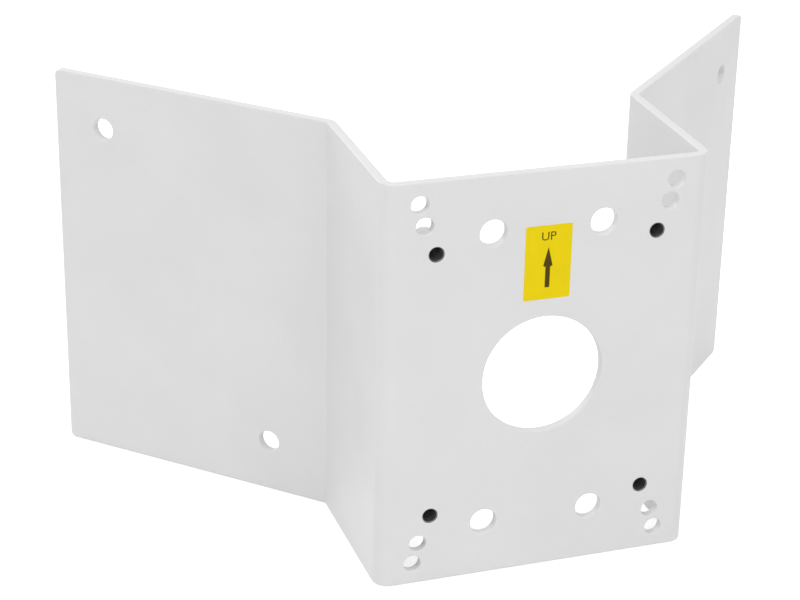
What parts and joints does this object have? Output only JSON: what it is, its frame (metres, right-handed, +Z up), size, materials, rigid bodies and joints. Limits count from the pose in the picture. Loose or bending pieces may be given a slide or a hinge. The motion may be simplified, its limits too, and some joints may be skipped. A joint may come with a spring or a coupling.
{
  "type": "camera corner bracket",
  "caption": "Folded steel plate that carries a camera arm on a building's outer corner, with a drilled front plate, two webs and two angled wings.",
  "frame": {"origin": "under the middle of the bracket's outer box, at the lower edge of the sheet", "axes": "+X along the front plate's width and across both wings, +Y from the front plate towards the walls, +Z up"},
  "size_m": [0.4048, 0.213, 0.22],
  "materials": {
    "white_coat": "white powder coat, satin",
    "bush_coat": "white powder coat outside, dark steel thread inside",
    "label_film": "yellow printed film"
  },
  "bodies": {
    "root": {"folded_plate": "white_coat", "threaded_bush_upper_left": "bush_coat", "threaded_bush_upper_right": "bush_coat", "threaded_bush_lower_left": "bush_coat", "threaded_bush_lower_right": "bush_coat", "up_label": "label_film"}
  },
  "joints": []
}
